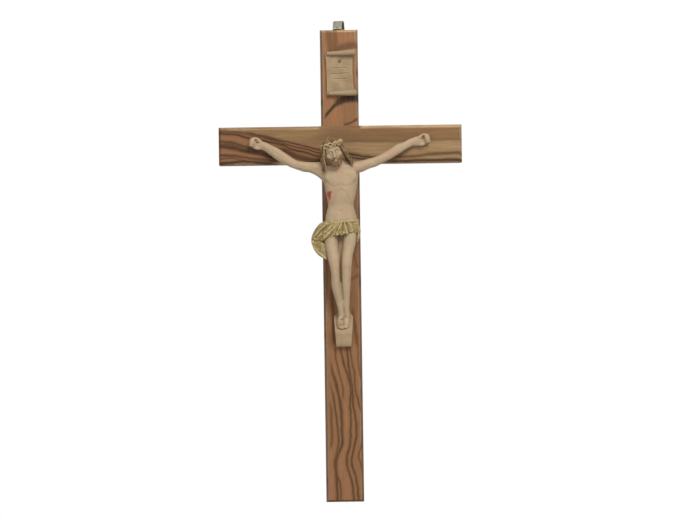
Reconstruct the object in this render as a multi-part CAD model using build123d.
from build123d import *
import os

# Wall crucifix: a half-lapped cross of olive wood with a painted figure, a title scroll,
# a foot block and a hanging loop that swivels on its nail.
# Millimetres, +Z up, the front looks along -Y. The origin is on the back face, at the
# centre of the crossing. Left and right in the names are the figure's own.

# Cross
CROSS_HEIGHT = 300.0
CROSS_SPAN = 154.5
BEAM_WIDTH = 24.0
BEAM_THICKNESS = 12.0
CROSSING_DROP = 73.0  # top of the upright down to the centre of the crossing
EDGE_CHAMFER = 1.5  # routed along every front edge
CORNER_RADIUS = 4.0  # left by the cutter where the chamfers meet at the crossing
EDGE_ROUND = 0.4
OVERRUN = 10.0  # how far a cutting block reaches past what it cuts

# Figure: overall sizes
FIGURE_HEIGHT = 121.0  # crown of the head to the toes
FIGURE_RISE = 3.5  # crown of the head above the centre of the crossing
CHEST_WIDTH = 22.0
CHEST_DEPTH = 13.4
CHEST_STANDOFF = 8.2  # face of the wood to the middle of the chest
# rows of level (of the height, from the crown down), width, depth, standoff
TORSO_SHARES = (
    (0.112, 0.34, 0.52, 1.20),
    (0.128, 0.64, 0.64, 1.08),
    (0.145, 0.90, 0.76, 1.02),
    (0.178, 1.03, 0.92, 1.00),
    (0.215, 1.00, 1.00, 1.00),
    (0.256, 0.92, 1.00, 0.98),
    (0.306, 0.82, 0.90, 0.93),
    (0.347, 0.73, 0.79, 0.88),
    (0.388, 0.84, 0.83, 0.86),
    (0.430, 0.92, 0.90, 0.88),
    (0.475, 0.90, 0.88, 0.91),
    (0.512, 0.72, 0.72, 0.94),
)
PECTORAL_WIDTH = 10.6
PECTORAL_HEIGHT = 8.4
PECTORAL_DEPTH = 5.0
PECTORAL_SPREAD_SHARE = 0.20  # of the chest's width, from the middle
PECTORAL_LEVEL_SHARE = 0.208  # of the figure's height
PECTORAL_FORWARD_SHARE = 0.29  # of the chest's depth, in front of its middle

# Figure: legs and feet
HIP_SPREAD = 5.2  # middle of the trunk to the hip joint
KNEE_STANDOFF = 12.4
THIGH_WIDTH = 7.7
KNEECAP_DIAMETER = 4.4
KNEECAP_FORWARD_SHARE = 0.20  # of the thigh's width, in front of the knee's middle
KNEE_ROW = 4  # the row of a leg's table that is the knee
# rows of level (of the height), spread, standoff, width, depth (of the thigh's width)
RIGHT_LEG_SHARES = (
    (0.442, -1.00, 0.60, 1.16, 1.36),
    (0.500, -1.12, 0.69, 1.11, 1.24),
    (0.553, -1.17, 0.80, 1.00, 1.09),
    (0.618, -0.96, 0.94, 0.90, 0.94),
    (0.664, -0.86, 1.00, 0.82, 0.88),
    (0.703, -0.80, 0.96, 0.74, 0.80),
    (0.769, -0.73, 0.80, 0.78, 0.86),
    (0.849, -0.36, 0.63, 0.61, 0.65),
    (0.905, -0.16, 0.51, 0.52, 0.57),
    (0.928, -0.12, 0.44, 0.50, 0.60),
)
LEFT_LEG_SHARES = (
    (0.442, 1.00, 0.60, 1.16, 1.36),
    (0.496, 1.04, 0.69, 1.11, 1.24),
    (0.545, 0.96, 0.79, 1.01, 1.09),
    (0.610, 0.70, 0.90, 0.88, 0.94),
    (0.660, 0.56, 0.95, 0.79, 0.86),
    (0.707, 0.52, 0.89, 0.78, 0.83),
    (0.778, 0.51, 0.73, 0.68, 0.78),
    (0.863, 0.53, 0.54, 0.54, 0.60),
    (0.905, 0.56, 0.45, 0.50, 0.55),
    (0.926, 0.62, 0.38, 0.48, 0.58),
)
FOOT_WIDTH = 5.0
FOOT_THICKNESS = 4.4
# rows of place along the foot block's slope, place across (of the hip spread), width, thickness
RIGHT_FOOT_SHARES = (
    (0.10, -0.16, 0.66, 0.90),
    (0.32, -0.13, 0.80, 1.06),
    (0.58, -0.08, 0.96, 0.86),
    (0.76, -0.03, 1.04, 0.64),
    (0.88, 0.00, 0.92, 0.46),
)
LEFT_FOOT_SHARES = (
    (0.06, 0.60, 0.62, 0.84),
    (0.26, 0.66, 0.74, 0.98),
    (0.50, 0.73, 0.90, 0.80),
    (0.66, 0.79, 0.98, 0.60),
    (0.77, 0.82, 0.86, 0.44),
)
TOE_LENGTH = 2.6
TOE_DIAMETER = 1.3
TOE_COUNT = 5
TOE_TAPER_SHARE = 0.13  # each toe is this much smaller than its inner neighbour
TOE_TIP_SHARE = 0.72  # of the toe's diameter

# Figure: arms and hands
ARM_REACH = 52.3  # middle of the trunk to the middle of the palm
SHOULDER_DROP = 15.0  # shoulder joint below the centre of the crossing
SHOULDER_SPREAD = 10.6
SHOULDER_LEAN = 16.0  # degrees, how far the seam's lower end leans outwards
RIGHT_HAND_RISE = 2.2  # palm above the centre of the crossing
LEFT_HAND_RISE = 3.3
ARM_WIDTH = 6.2
# rows of reach, rise (of the way from shoulder to palm), standoff (of the chest's), thickness
RIGHT_ARM_SHARES = (
    (0.150, 0.000, 1.02, 1.16),
    (0.225, 0.000, 1.02, 1.20),
    (0.305, 0.017, 0.98, 1.10),
    (0.447, 0.064, 0.86, 0.99),
    (0.550, 0.150, 0.76, 0.95),
    (0.626, 0.262, 0.68, 1.00),
    (0.720, 0.430, 0.58, 0.97),
    (0.796, 0.581, 0.49, 0.88),
    (0.926, 0.843, 0.32, 0.70),
)
LEFT_ARM_SHARES = (
    (0.150, 0.000, 1.02, 1.16),
    (0.225, 0.015, 1.02, 1.18),
    (0.300, 0.085, 0.98, 1.06),
    (0.433, 0.208, 0.86, 0.96),
    (0.530, 0.345, 0.76, 0.93),
    (0.610, 0.470, 0.68, 0.98),
    (0.700, 0.615, 0.58, 0.95),
    (0.760, 0.708, 0.50, 0.87),
    (0.885, 0.905, 0.33, 0.69),
)
PALM_LENGTH = 6.4
PALM_WIDTH = 6.4
PALM_THICKNESS = 3.2
PALM_STANDOFF = 1.35  # wood to the middle of the palm, whose back is pressed flat
# rows of place along the palm from its middle, width, thickness
PALM_SHARES = (
    (-0.36, 0.86, 1.04),
    (0.00, 1.00, 1.00),
    (0.36, 0.98, 0.80),
    (0.50, 0.90, 0.56),
)
FINGER_LENGTH = 6.2
FINGER_DIAMETER = 1.5
FINGER_COUNT = 4
FINGER_TIP_SHARE = 0.74  # of the finger's diameter
DIGIT_PAD_SHARE = 1.08  # the ball of a finger or toe, of the diameter that it closes
# points along a curled finger: outwards and forwards, of its length
FINGER_CURL_SHARES = ((-0.10, 0.00), (0.22, 0.06), (0.40, 0.26), (0.33, 0.50), (0.12, 0.58))
# points along the thumb: along the palm, upwards and forwards, of its length
THUMB_SHARES = ((-0.42, 0.30, 0.06), (-0.10, 0.58, 0.12), (0.20, 0.68, 0.24), (0.44, 0.64, 0.38))
DOWEL_DIAMETER = 2.4
DOWEL_LENGTH = 8.0

# Head: sizes, place and pose
HEAD_HEIGHT = 15.5
HEAD_WIDTH = 10.8
HEAD_DEPTH = 12.6
HEAD_ACROSS = -2.3
HEAD_RISE = -4.6  # middle of the head from the centre of the crossing
HEAD_STANDOFF = 12.6
HEAD_TILT = 12.0  # degrees, crown towards the figure's right
HEAD_BOW = 16.0  # degrees, crown forwards
NECK_WIDTH = 7.4
# rows of height and forward place in the head, width, depth
HEAD_SHARES = (
    (-0.50, 0.30, 0.30, 0.24),
    (-0.44, 0.26, 0.52, 0.44),
    (-0.28, 0.10, 0.80, 0.76),
    (-0.10, 0.03, 0.94, 0.92),
    (0.08, 0.00, 1.00, 1.00),
    (0.26, -0.02, 0.98, 0.96),
    (0.40, -0.03, 0.76, 0.74),
    (0.48, -0.03, 0.44, 0.42),
)
# points of the face: across, forward (of width and depth) and height, then diameter (of the width)
NOSE_SHARES = ((0.00, 0.45, 0.07, 0.09), (0.00, 0.52, -0.04, 0.13), (0.00, 0.565, -0.15, 0.19))
BROW_SHARES = ((0.06, 0.46, 0.06, 0.10), (0.20, 0.45, 0.095, 0.12), (0.36, 0.33, 0.06, 0.09))
EYELID_SHARES = (0.19, 0.385, -0.005, 0.20)
CHEEK_SHARES = (0.24, 0.30, -0.15, 0.36)
LIP_SHARES = ((-0.13, 0.43, -0.295, 0.07), (0.00, 0.475, -0.285, 0.11), (0.13, 0.43, -0.295, 0.07))

# Hair, beard and crown
HAIR_THICKNESS = 1.3
HAIR_FACE_SHARES = (0.37, 0.12, 0.27)  # half width, forward edge and height of the face's opening
LOCK_DIAMETER = 4.2
# points along a lock: across and height from the head's middle (of its height), forward (of its depth)
RIGHT_LOCK_SHARES = ((-0.26, 0.00, 0.12), (-0.42, -0.16, 0.12), (-0.49, -0.52, 0.06), (-0.47, -0.92, -0.06))
LEFT_LOCK_SHARES = ((0.26, 0.10, 0.12), (0.42, -0.06, 0.12), (0.48, -0.34, 0.06), (0.53, -0.61, -0.06))
NAPE_LOCK_SHARES = ((-0.06, 0.10, -0.36), (-0.02, -0.18, -0.40), (0.03, -0.44, -0.38), (0.05, -0.62, -0.30))
LOCK_WIDTH_SHARES = (0.70, 1.00, 0.92, 0.42)
BEARD_DIAMETER = 4.2
# points along the jaw in the head: across, forward and height
BEARD_SHARES = (
    (-0.47, 0.06, 0.02),
    (-0.40, 0.22, -0.26),
    (-0.20, 0.40, -0.46),
    (0.00, 0.45, -0.54),
    (0.20, 0.40, -0.46),
    (0.40, 0.22, -0.26),
    (0.47, 0.06, 0.02),
)
BEARD_WIDTH_SHARES = (0.44, 0.66, 0.96, 1.12, 0.96, 0.66, 0.44)
MOUSTACHE_SHARES = (
    (-0.34, 0.27, -0.36),
    (-0.15, 0.44, -0.25),
    (0.00, 0.485, -0.215),
    (0.15, 0.44, -0.25),
    (0.34, 0.27, -0.36),
)
MOUSTACHE_WIDTH_SHARES = (0.44, 0.36, 0.26, 0.36, 0.44)
CROWN_DIAMETER = 16.8
CROWN_STRAND = 1.3
CROWN_HEIGHT_SHARE = 0.25  # of the head's height, above its middle
CROWN_FORWARD_SHARE = 0.02  # of the head's depth
CROWN_TILTS = ((-10.0, 0.0), (2.0, 8.0), (-2.0, -8.0))  # degrees, one row for each strand
THORN_COUNT = 15
THORN_LENGTH = 2.6
THORN_DIAMETER = 0.8
THORN_TURN = 137.5  # degrees from one thorn to the next
THORN_RISE = 38.0  # degrees, the steepest thorn

# Loincloth
CLOTH_WIDTH = 23.2
CLOTH_DEPTH = 15.0
CLOTH_STANDOFF = 7.8
# rows of level (of the figure's height), width, depth, standoff
CLOTH_SHARES = (
    (0.424, 0.92, 0.88, 0.96),
    (0.445, 0.98, 0.97, 0.98),
    (0.475, 1.00, 1.02, 1.02),
    (0.508, 0.98, 1.06, 1.10),
)
CLOTH_ROLLS = (4.0, 5.0, 8.0, 13.0)  # degrees, how far each section rises to the figure's left
FOLD_DIAMETER = 2.4
FOLD_WIDTH_SHARES = (0.40, 1.00, 1.10, 1.00, 0.40)  # of the fold's diameter, along it
FOLD_LEVEL_SHARES = ((0.434, 0.425), (0.462, 0.436), (0.486, 0.447), (0.506, 0.459), (0.514, 0.474))
FOLD_ANGLES = ((-75.0, 70.0), (-70.0, 72.0), (-60.0, 74.0), (-48.0, 76.0), (-20.0, 78.0))  # round the hips
DRAPE_WIDTH = 9.6
DRAPE_DEPTH = 6.0
# rows of level, place across (of half the cloth's width), width, depth, standoff (of the cloth's)
DRAPE_SHARES = (
    (0.420, -0.92, 0.34, 0.60, 1.06),
    (0.450, -1.10, 0.70, 1.00, 1.10),
    (0.497, -1.25, 0.98, 1.06, 1.10),
    (0.541, -1.26, 0.98, 0.94, 1.06),
    (0.582, -1.17, 0.78, 0.74, 1.02),
    (0.628, -0.90, 0.24, 0.36, 1.00),
)
DRAPE_FOLD_PLACE_SHARES = (-0.34, 0.0, 0.34)  # of the drape's width
DRAPE_FOLD_SHARE = 0.40  # of the drape's depth, in front of its middle
# rows of level, place across (of half the cloth's width), diameter (of the drape's depth)
HIP_TAIL_SHARES = ((0.445, 0.88, 0.56), (0.490, 0.90, 0.72), (0.542, 0.82, 0.26))

# Foot block
FOOTREST_WIDTH = 12.2
FOOTREST_FOOT_WIDTH = 9.3
FOOTREST_ACROSS = 0.5
FOOTREST_TOP_DROP = 106.6  # top edge below the centre of the crossing
FOOTREST_HEIGHT = 21.4
FOOTREST_DEPTH = 8.6
FOOTREST_LIP_DROP = 11.6  # top edge down to the front lip
FOOTREST_LIP = 1.0
FOOTREST_HEEL_DEPTH = 3.4
FOOTREST_SHOULDER = 2.4  # corner cut off each upper end
FOOTREST_ROUND = 0.3

# Title scroll
SCROLL_WIDTH = 17.6
SCROLL_HEIGHT = 28.4
SCROLL_THICKNESS = 1.6
SCROLL_ROLL = 4.2  # diameter of the rolled ends
SCROLL_ROLL_BORE = 1.6
SCROLL_CURL = 2.2  # how far the curled corners stand out
SCROLL_WAIST = 0.8  # how far the free edges draw in
SCROLL_ACROSS = 0.5
SCROLL_RISE = 45.5  # middle of the scroll above the centre of the crossing
SCROLL_TILT = 1.5  # degrees
RULE_COUNT = 3
RULE_LENGTH = 10.0
RULE_WIDTH = 0.6
RULE_DEPTH = 0.3
RULE_PITCH = 3.4
TITLE_NAIL_DROP = 6.6  # top of the scroll down to its nail

# Nails: head diameter, head height, shank diameter, length under the head
HAND_NAIL = (1.9, 0.8, 1.1, 9.0)
FOOT_NAIL = (2.0, 0.8, 1.2, 15.0)
TITLE_NAIL = (1.8, 0.8, 1.0, 8.0)
LOOP_NAIL = (3.0, 0.8, 1.4, 14.0)
NAIL_POINT = 1.8
NAIL_DOME_SHARE = 0.8  # rounding of a nail's head, of its height
FOOT_NAIL_SHARES = (0.55, -0.17, 0.92)  # along the slope, across (of the hip spread), over the slope

# Hanging loop: a strip bent into a closed stirrup
LOOP_STRIP_WIDTH = 6.0
LOOP_STRIP = 0.7
LOOP_HEIGHT = 6.2
LOOP_BASE = 6.4
LOOP_TOP = 3.6
LOOP_BEND = 1.3
LOOP_TURN = 21.0  # degrees from square, as it hangs
LOOP_CLEARANCE = 0.06  # round the nail, under its head and over the wood


def spot(across, forward, height):
    """A point given by its distance in front of the wood."""
    return Vector(across, -BEAM_THICKNESS - forward, height)


def level(share):
    """Height of a level of the figure, from the crown of its head down."""
    return FIGURE_RISE - share * FIGURE_HEIGHT


def tube(points, widths, depths, side):
    """A smooth limb through elliptical sections set square to its path."""
    sections = []
    for index, point in enumerate(points):
        before = points[max(index - 1, 0)]
        after = points[min(index + 1, len(points) - 1)]
        plane = Plane(origin=point, x_dir=square_to(side, after - before), z_dir=after - before)
        sections.append(plane * Ellipse(widths[index] / 2, depths[index] / 2))
    return loft(sections)


def square_to(side, direction):
    """The part of a side direction that is square to a path."""
    unit = direction.normalized()
    return side - unit * side.dot(unit)


def round_tube(points, diameters, side):
    """A limb of round section."""
    return tube(points, diameters, diameters, side)


def digit(points, diameters, side):
    """A finger or toe with a rounded tip."""
    return round_tube(points, diameters, side) + Pos(points[-1]) * Sphere(DIGIT_PAD_SHARE * diameters[-1] / 2)


def cut_by(piece, *tools):
    """A piece with its neighbours' shapes taken out of it."""
    for tool in tools:
        piece = piece - tool
    return piece


def nail(sizes, seat, direction):
    """A nail with a domed head whose underside is at the seat; direction points into the work."""
    head_diameter, head_height, shank_diameter, length = sizes
    head = Pos(0, 0, -head_height / 2) * Cylinder(head_diameter / 2, head_height)
    head = fillet(head.edges().sort_by(Axis.Z)[0], head_height * NAIL_DOME_SHARE)
    straight = length - NAIL_POINT
    shank = Pos(0, 0, straight / 2) * Cylinder(shank_diameter / 2, straight)
    point = Pos(0, 0, straight + NAIL_POINT / 2) * Cone(shank_diameter / 2, 0, NAIL_POINT)
    return Plane(origin=seat, z_dir=direction) * (head + shank + point)


INTO_WOOD = Vector(0, 1, 0)
ACROSS = Vector(1, 0, 0)
UPWARD = Vector(0, 0, 1)


# Cross: one chamfered outline, then parted into two half-lapped beams
def cross_outline(inset, corner_radius):
    """The outline of the whole cross, drawn in and with its inner corners rounded."""
    half = BEAM_WIDTH / 2 - inset
    reach = CROSS_SPAN / 2 - inset
    top = CROSSING_DROP - inset
    bottom = CROSSING_DROP - CROSS_HEIGHT + inset
    right_side = [(half, bottom), (half, -half), (reach, -half), (reach, half), (half, half), (half, top)]
    left_side = [(-across, height) for across, height in reversed(right_side)]
    outline = Polygon(*right_side, *left_side, align=None)
    if corner_radius == 0:
        return outline
    inner = [corner for corner in outline.vertices() if abs(abs(corner.X) - abs(corner.Y)) < EDGE_ROUND]
    return fillet(inner, corner_radius)


def cross_body():
    """The whole cross with its routed front edges."""
    back = Plane.XZ
    prism = extrude(back * cross_outline(0, 0), BEAM_THICKNESS)
    straight = extrude(back * cross_outline(0, 0), BEAM_THICKNESS - EDGE_CHAMFER)
    outer = back.offset(BEAM_THICKNESS - EDGE_CHAMFER) * cross_outline(0, CORNER_RADIUS - EDGE_CHAMFER)
    inner = back.offset(BEAM_THICKNESS) * cross_outline(EDGE_CHAMFER, CORNER_RADIUS)
    body = straight + (loft([outer, inner], ruled=True) & prism)
    front_edges = body.faces().sort_by(Axis.Y)[0].edges()
    return fillet(front_edges, EDGE_ROUND)


cross = cross_body()
beam_block = Box(CROSS_SPAN + OVERRUN, BEAM_THICKNESS * 2 + OVERRUN, BEAM_WIDTH)
front_half = Pos(0, -BEAM_THICKNESS, 0) * Box(CROSS_SPAN + OVERRUN, BEAM_THICKNESS, BEAM_WIDTH)
upright_block = Box(BEAM_WIDTH, BEAM_THICKNESS * 2 + OVERRUN, CROSS_HEIGHT * 2)
back_half = Box(BEAM_WIDTH, BEAM_THICKNESS, BEAM_WIDTH)
upright = (cross & upright_block) - front_half
crossbeam = (cross & beam_block) - back_half


# Foot block: a wedge whose slope carries the feet
def footrest_solid():
    """The block's front outline, cut by its side profile."""
    half = FOOTREST_WIDTH / 2
    foot_half = FOOTREST_FOOT_WIDTH / 2
    outline = Polygon(
        (-half + FOOTREST_SHOULDER, 0),
        (-half, -FOOTREST_SHOULDER),
        (-foot_half, -FOOTREST_HEIGHT),
        (foot_half, -FOOTREST_HEIGHT),
        (half, -FOOTREST_SHOULDER),
        (half - FOOTREST_SHOULDER, 0),
        align=None,
    )
    profile = Polygon(
        (0, 0),
        (-FOOTREST_DEPTH, -FOOTREST_LIP_DROP),
        (-FOOTREST_DEPTH, -FOOTREST_LIP_DROP - FOOTREST_LIP),
        (-FOOTREST_HEEL_DEPTH, -FOOTREST_HEIGHT),
        (0, -FOOTREST_HEIGHT),
        align=None,
    )
    front = extrude(Plane.XZ * outline, FOOTREST_DEPTH)
    side = extrude(Plane.YZ * profile, FOOTREST_WIDTH, both=True)
    block = front & side
    lip_edges = block.faces().sort_by(Axis.Y)[0].edges()
    block = fillet(lip_edges, FOOTREST_ROUND)
    return Pos(FOOTREST_ACROSS, -BEAM_THICKNESS, -FOOTREST_TOP_DROP) * block


footrest = footrest_solid()


def slope_spot(along_share, across, above):
    """A point over the slope of the foot block."""
    down = Vector(0, -FOOTREST_DEPTH, -FOOTREST_LIP_DROP)
    out = Vector(0, -FOOTREST_LIP_DROP, FOOTREST_DEPTH).normalized()
    start = spot(across, 0, -FOOTREST_TOP_DROP)
    return start + down * along_share + out * above


# Figure: trunk, legs and feet
def torso_solid():
    points = [spot(0, row[3] * CHEST_STANDOFF, level(row[0])) for row in TORSO_SHARES]
    widths = [row[1] * CHEST_WIDTH for row in TORSO_SHARES]
    depths = [row[2] * CHEST_DEPTH for row in TORSO_SHARES]
    sections = [
        Plane(origin=point, x_dir=ACROSS, z_dir=-UPWARD) * Ellipse(width / 2, depth / 2)
        for point, width, depth in zip(points, widths, depths)
    ]
    return loft(sections)


def pectoral(side):
    forward = CHEST_STANDOFF + PECTORAL_FORWARD_SHARE * CHEST_DEPTH
    place = spot(side * PECTORAL_SPREAD_SHARE * CHEST_WIDTH, forward, level(PECTORAL_LEVEL_SHARE))
    pad = scale(Sphere(1), by=(PECTORAL_WIDTH / 2, PECTORAL_DEPTH / 2, PECTORAL_HEIGHT / 2))
    return Pos(place) * pad


def leg(rows):
    points = [spot(row[1] * HIP_SPREAD, row[2] * KNEE_STANDOFF, level(row[0])) for row in rows]
    widths = [row[3] * THIGH_WIDTH for row in rows]
    depths = [row[4] * THIGH_WIDTH for row in rows]
    kneecap = points[KNEE_ROW] - INTO_WOOD * KNEECAP_FORWARD_SHARE * THIGH_WIDTH
    return [tube(points, widths, depths, ACROSS), Pos(kneecap) * Sphere(KNEECAP_DIAMETER / 2)]


def foot(rows, big_toe_side):
    """A foot on the slope, with toes that shorten away from the big one."""
    points = [slope_spot(row[0], row[1] * HIP_SPREAD, row[3] * FOOT_THICKNESS / 2) for row in rows]
    widths = [row[2] * FOOT_WIDTH for row in rows]
    depths = [row[3] * FOOT_THICKNESS for row in rows]
    pieces = [tube(points, widths, depths, ACROSS)]
    onward = (points[-1] - points[-2]).normalized()
    pitch = FOOT_WIDTH / TOE_COUNT
    for index in range(TOE_COUNT):
        size = 1 - TOE_TAPER_SHARE * index
        shift = big_toe_side * ((TOE_COUNT - 1) / 2 - index) * pitch
        root = points[-2] + ACROSS * shift
        knuckle = points[-1] + ACROSS * shift
        tip = knuckle + onward * TOE_LENGTH * size / 2
        diameters = [TOE_DIAMETER * size, TOE_DIAMETER * size, TOE_DIAMETER * size * TOE_TIP_SHARE]
        pieces.append(digit([root, knuckle, tip], diameters, ACROSS))
    return pieces


# Figure: head, in its own frame with the face along -Y, then set on the neck
HEAD_PLACE = Pos(spot(HEAD_ACROSS, HEAD_STANDOFF, HEAD_RISE)) * Rot(0, -HEAD_TILT, 0) * Rot(HEAD_BOW, 0, 0)


def head_spot(across_share, forward_share, height_share):
    return Vector(across_share * HEAD_WIDTH, -forward_share * HEAD_DEPTH, height_share * HEAD_HEIGHT)


def head_loft(extra, rows):
    sections = []
    for height, forward, width, depth in rows:
        grown = 1 + 2 * extra / HEAD_HEIGHT
        plane = Plane(origin=head_spot(0, forward, height * grown), x_dir=ACROSS, z_dir=UPWARD)
        outline = Ellipse(width * HEAD_WIDTH / 2 + extra, depth * HEAD_DEPTH / 2 + extra)
        sections.append(plane * outline)
    return loft(sections)


def face_ball(shares, side):
    across, forward, height, diameter = shares
    return Pos(head_spot(side * across, forward, height)) * Sphere(diameter * HEAD_WIDTH / 2)


def face_tube(rows, side, direction):
    points = [head_spot(side * row[0], row[1], row[2]) for row in rows]
    return round_tube(points, [row[3] * HEAD_WIDTH for row in rows], direction)


def head_pieces():
    pieces = [head_loft(0, HEAD_SHARES), face_tube(NOSE_SHARES, 1, ACROSS), face_tube(LIP_SHARES, 1, UPWARD)]
    for side in (-1, 1):
        pieces.append(face_tube(BROW_SHARES, side, UPWARD))
        pieces.append(face_ball(EYELID_SHARES, side))
        pieces.append(face_ball(CHEEK_SHARES, side))
    return [HEAD_PLACE * piece for piece in pieces]


def neck():
    base = spot(0, TORSO_SHARES[1][3] * CHEST_STANDOFF, level(TORSO_SHARES[1][0]))
    top = HEAD_PLACE.position
    middle = (base + top) / 2
    return round_tube([base, middle, top], [NECK_WIDTH, NECK_WIDTH, NECK_WIDTH], ACROSS)


# Figure: arms and hands
def arm(rows, side, rise):
    """An arm from inside the trunk to its curled fingers, and the middle of its palm."""
    shoulder = -SHOULDER_DROP
    points = []
    for reach, climb, standoff, _ in rows:
        height = shoulder + climb * (rise - shoulder)
        points.append(spot(side * reach * ARM_REACH, standoff * CHEST_STANDOFF, height))
    widths = [row[3] * ARM_WIDTH for row in rows]
    depths = list(widths)
    palm = spot(side * ARM_REACH, PALM_STANDOFF, rise)
    along = square_to(palm - points[-1], INTO_WOOD).normalized()
    for place, width, thickness in PALM_SHARES:
        points.append(palm + along * place * PALM_LENGTH)
        widths.append(width * PALM_WIDTH)
        depths.append(thickness * PALM_THICKNESS)
    pieces = [tube(points, widths, depths, UPWARD)]
    upward = square_to(UPWARD, along).normalized()
    for index in range(FINGER_COUNT):
        shift = (index - (FINGER_COUNT - 1) / 2) * PALM_WIDTH / FINGER_COUNT
        root = palm + along * PALM_LENGTH / 2 + upward * shift
        pieces.append(finger(root, along))
    pieces.append(thumb(palm, along, upward))
    return pieces, palm


def finger(root, along):
    points = []
    for outward, forward in FINGER_CURL_SHARES:
        points.append(root + along * outward * FINGER_LENGTH - INTO_WOOD * forward * FINGER_LENGTH)
    return digit(points, finger_diameters(len(points)), UPWARD)


def thumb(palm, along, upward):
    points = []
    for onward, up, forward in THUMB_SHARES:
        aim = along * onward + upward * up - INTO_WOOD * forward
        points.append(palm + aim * FINGER_LENGTH)
    return digit(points, finger_diameters(len(points)), UPWARD)


def finger_diameters(count):
    """Diameters that taper evenly to the tip."""
    taper = (1 - FINGER_TIP_SHARE) / (count - 1)
    return [FINGER_DIAMETER * (1 - taper * index) for index in range(count)]


def shoulder_plane(side):
    """The seam between arm and trunk, facing outwards."""
    outwards = Vector(side, 0, 0).rotate(Axis.Y, -side * SHOULDER_LEAN)
    return Plane(origin=spot(side * SHOULDER_SPREAD, CHEST_STANDOFF, -SHOULDER_DROP), z_dir=outwards)


def shoulder_dowel(side):
    return shoulder_plane(side) * Cylinder(DOWEL_DIAMETER / 2, DOWEL_LENGTH)


right_arm_pieces, right_palm = arm(RIGHT_ARM_SHARES, -1, RIGHT_HAND_RISE)
left_arm_pieces, left_palm = arm(LEFT_ARM_SHARES, 1, LEFT_HAND_RISE)
shoulders = torso_solid().fuse(pectoral(-1), pectoral(1), *right_arm_pieces, *left_arm_pieces)
right_arm = split(shoulders, shoulder_plane(-1), keep=Keep.TOP) - cross
left_arm = split(shoulders, shoulder_plane(1), keep=Keep.TOP) - cross
trunk = split(shoulders, shoulder_plane(-1), keep=Keep.BOTTOM)
trunk = split(trunk, shoulder_plane(1), keep=Keep.BOTTOM)
lower_pieces = [neck(), *head_pieces(), *leg(RIGHT_LEG_SHARES), *leg(LEFT_LEG_SHARES)]
lower_pieces += foot(RIGHT_FOOT_SHARES, 1) + foot(LEFT_FOOT_SHARES, -1)
corpus = trunk.fuse(*lower_pieces) - footrest
right_shoulder_dowel = shoulder_dowel(-1)
left_shoulder_dowel = shoulder_dowel(1)


# Hair, beard and crown of thorns
def hair_cap():
    """A shell over the skull, open at the face."""
    half_width, forward, height = HAIR_FACE_SHARES
    cap = head_loft(HAIR_THICKNESS, HEAD_SHARES[2:])
    opening = Box(2 * half_width * HEAD_WIDTH, HEAD_DEPTH, HEAD_HEIGHT)
    corner = head_spot(0, forward, height) - Vector(0, HEAD_DEPTH / 2, HEAD_HEIGHT / 2)
    return HEAD_PLACE * (cap - Pos(corner) * opening)


def lock(rows):
    points = []
    for across, height, forward in rows:
        side = HEAD_ACROSS + across * HEAD_HEIGHT
        points.append(spot(side, HEAD_STANDOFF + forward * HEAD_DEPTH, HEAD_RISE + height * HEAD_HEIGHT))
    return round_tube(points, [share * LOCK_DIAMETER for share in LOCK_WIDTH_SHARES], ACROSS)


def beard_tube(rows, widths):
    points = [head_spot(*row) for row in rows]
    return HEAD_PLACE * round_tube(points, [share * BEARD_DIAMETER for share in widths], INTO_WOOD)


def crown_ring():
    """Three strands, each tilted its own way, with thorns all round."""
    ring = Part()
    for bow, lean in CROWN_TILTS:
        ring += Rot(bow, lean, 0) * Torus(CROWN_DIAMETER / 2, CROWN_STRAND / 2)
    for index in range(THORN_COUNT):
        rise = THORN_RISE * (index % len(CROWN_TILTS) - 1)
        bow, lean = CROWN_TILTS[index % len(CROWN_TILTS)]
        root = Rot(bow, lean, 0) * Rot(0, 0, index * THORN_TURN) * Pos(CROWN_DIAMETER / 2, 0, 0)
        thorn = Pos(0, 0, THORN_LENGTH / 2) * Cone(THORN_DIAMETER / 2, 0, THORN_LENGTH)
        ring += root * Rot(0, 90 - rise, 0) * thorn
    return HEAD_PLACE * Pos(head_spot(0, CROWN_FORWARD_SHARE, CROWN_HEIGHT_SHARE)) * ring


hair_pieces = [lock(RIGHT_LOCK_SHARES), lock(LEFT_LOCK_SHARES), lock(NAPE_LOCK_SHARES)]
hair_pieces.append(beard_tube(BEARD_SHARES, BEARD_WIDTH_SHARES))
hair_pieces.append(beard_tube(MOUSTACHE_SHARES, MOUSTACHE_WIDTH_SHARES))
hair_and_beard = cut_by(hair_cap().fuse(*hair_pieces), corpus, right_arm, left_arm)
crown_of_thorns = cut_by(crown_ring(), corpus, hair_and_beard)


# Loincloth: a wrap with slanting folds, the drape on the right hip and a short tail on the left
def cloth_wrap():
    sections = []
    for (height, width, depth, standoff), roll in zip(CLOTH_SHARES, CLOTH_ROLLS):
        plane = Plane(origin=spot(0, standoff * CLOTH_STANDOFF, level(height)), z_dir=UPWARD, x_dir=ACROSS)
        outline = Ellipse(width * CLOTH_WIDTH / 2, depth * CLOTH_DEPTH / 2)
        sections.append(plane * Rot(0, -roll, 0) * outline)
    return loft(sections)


def cloth_fold(levels, angles):
    points = []
    last = len(FOLD_WIDTH_SHARES) - 1
    for index in range(last + 1):
        angle = angles[0] + (angles[1] - angles[0]) * index / last
        height = level(levels[0] + (levels[1] - levels[0]) * index / last)
        rim = Vector(0, CLOTH_DEPTH / 2).rotate(Axis.Z, -angle)
        points.append(spot(rim.X * CLOTH_WIDTH / CLOTH_DEPTH, CLOTH_STANDOFF + rim.Y, height))
    return round_tube(points, [share * FOLD_DIAMETER for share in FOLD_WIDTH_SHARES], UPWARD)


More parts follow.
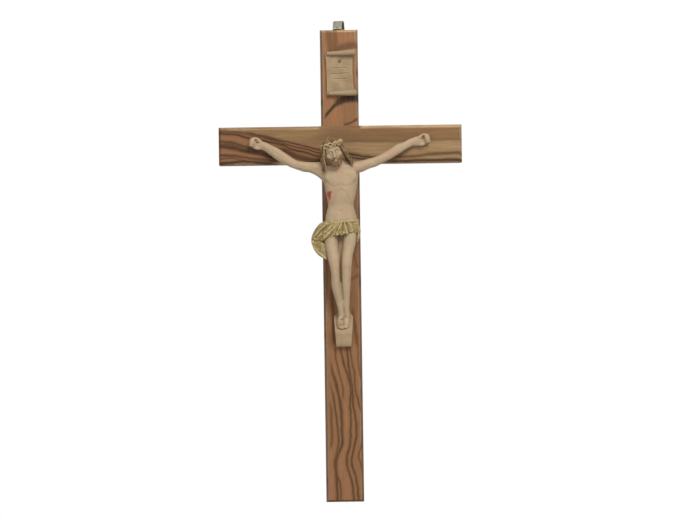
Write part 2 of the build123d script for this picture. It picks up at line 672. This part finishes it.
def drape_row(row, place_share, forward_share):
    height, across, width, depth, standoff = row
    side = across * CLOTH_WIDTH / 2 + place_share * width * DRAPE_WIDTH
    return spot(side, standoff * CLOTH_STANDOFF + forward_share * depth * DRAPE_DEPTH, level(height))


def drape():
    """The hanging end on the right hip, with three folds down its front."""
    body = tube(
        [drape_row(row, 0, 0) for row in DRAPE_SHARES],
        [row[2] * DRAPE_WIDTH for row in DRAPE_SHARES],
        [row[3] * DRAPE_DEPTH for row in DRAPE_SHARES],
        ACROSS,
    )
    diameters = [row[2] * FOLD_DIAMETER for row in DRAPE_SHARES]
    folds = []
    for place in DRAPE_FOLD_PLACE_SHARES:
        points = [drape_row(row, place, DRAPE_FOLD_SHARE) for row in DRAPE_SHARES]
        folds.append(round_tube(points, diameters, ACROSS))
    return [body, *folds]


def hip_tail():
    points = []
    for height, across, _ in HIP_TAIL_SHARES:
        points.append(spot(across * CLOTH_WIDTH / 2, CLOTH_STANDOFF, level(height)))
    return round_tube(points, [row[2] * DRAPE_DEPTH for row in HIP_TAIL_SHARES], ACROSS)


folds = [cloth_fold(levels, angles) for levels, angles in zip(FOLD_LEVEL_SHARES, FOLD_ANGLES)]
loincloth = cloth_wrap().fuse(*folds, *drape(), hip_tail()) - corpus


# Title scroll: a sheet with rolled ends and drawn-in free edges, bare but for a few ruled lines
def scroll_solid():
    half = SCROLL_WIDTH / 2
    axis_height = SCROLL_HEIGHT / 2 - SCROLL_ROLL / 2
    edges = [
        Line((-half, axis_height), (half, axis_height)),
        ThreePointArc((half, axis_height), (half - SCROLL_WAIST, 0), (half, -axis_height)),
        Line((half, -axis_height), (-half, -axis_height)),
        ThreePointArc((-half, -axis_height), (SCROLL_WAIST - half, 0), (-half, axis_height)),
    ]
    sheet = extrude(Plane.XZ * make_face(edges), SCROLL_THICKNESS)
    roll_length = SCROLL_WIDTH + SCROLL_CURL
    for height in (axis_height, -axis_height):
        place = Pos(SCROLL_CURL / 2, -SCROLL_ROLL / 2, height) * Rot(0, 90, 0)
        sheet += place * Cylinder(SCROLL_ROLL / 2, roll_length)
        sheet -= place * Cylinder(SCROLL_ROLL_BORE / 2, roll_length)
    for index in range(RULE_COUNT):
        height = ((RULE_COUNT - 1) / 2 - index) * RULE_PITCH
        sheet -= Pos(0, -SCROLL_THICKNESS, height) * Box(RULE_LENGTH, 2 * RULE_DEPTH, RULE_WIDTH)
    return sheet


SCROLL_PLACE = Pos(spot(SCROLL_ACROSS, 0, SCROLL_RISE)) * Rot(0, -SCROLL_TILT, 0)
title_scroll = SCROLL_PLACE * scroll_solid()
title_seat = (SCROLL_PLACE * Pos(0, -SCROLL_THICKNESS, SCROLL_HEIGHT / 2 - TITLE_NAIL_DROP)).position


# Nails
right_hand_nail = nail(HAND_NAIL, right_palm - INTO_WOOD * PALM_THICKNESS / 2, INTO_WOOD)
left_hand_nail = nail(HAND_NAIL, left_palm - INTO_WOOD * PALM_THICKNESS / 2, INTO_WOOD)
title_nail = nail(TITLE_NAIL, title_seat, INTO_WOOD)
foot_along, foot_across, foot_over = FOOT_NAIL_SHARES
foot_seat = slope_spot(foot_along, foot_across * HIP_SPREAD, foot_over * FOOT_THICKNESS)
foot_nail = nail(FOOT_NAIL, foot_seat, slope_spot(foot_along, foot_across * HIP_SPREAD, 0) - foot_seat)


# Hanging loop on the top end
def loop_solid():
    """The bent strip, standing on its base with the eye along X."""
    outline = Polygon(
        (-LOOP_BASE / 2, 0),
        (LOOP_BASE / 2, 0),
        (LOOP_TOP / 2, LOOP_HEIGHT),
        (-LOOP_TOP / 2, LOOP_HEIGHT),
        align=None,
    )
    outline = fillet(outline.vertices(), LOOP_BEND)
    strip = outline - offset(outline, -LOOP_STRIP)
    loop = extrude(Plane.YZ * strip, LOOP_STRIP_WIDTH / 2, both=True)
    return loop - Cylinder(LOOP_NAIL[2] / 2 + LOOP_CLEARANCE, 4 * LOOP_STRIP)


LOOP_PLACE = Pos(0, -BEAM_THICKNESS / 2, CROSSING_DROP + LOOP_CLEARANCE) * Rot(0, 0, -LOOP_TURN)
hanging_loop = LOOP_PLACE * loop_solid()
loop_seat = LOOP_PLACE.position + UPWARD * (LOOP_STRIP + LOOP_CLEARANCE)
loop_nail = nail(LOOP_NAIL, loop_seat, -UPWARD)

nodes = {
    "upright": cut_by(upright, title_nail, foot_nail, loop_nail),
    "crossbeam": cut_by(crossbeam, right_hand_nail, left_hand_nail),
    "footrest": cut_by(footrest, foot_nail),
    "corpus": cut_by(corpus, right_shoulder_dowel, left_shoulder_dowel, foot_nail),
    "right_arm": cut_by(right_arm, right_shoulder_dowel, right_hand_nail),
    "left_arm": cut_by(left_arm, left_shoulder_dowel, left_hand_nail),
    "right_shoulder_dowel": right_shoulder_dowel,
    "left_shoulder_dowel": left_shoulder_dowel,
    "hair_and_beard": hair_and_beard,
    "crown_of_thorns": crown_of_thorns,
    "loincloth": loincloth,
    "title_scroll": cut_by(title_scroll, title_nail),
    "title_nail": title_nail,
    "right_hand_nail": right_hand_nail,
    "left_hand_nail": left_hand_nail,
    "foot_nail": foot_nail,
    "hanging_loop": hanging_loop,
    "loop_nail": loop_nail,
}

os.makedirs("parts", exist_ok=True)
for name, piece in nodes.items():
    export_step(piece, f"parts/{name}.step")
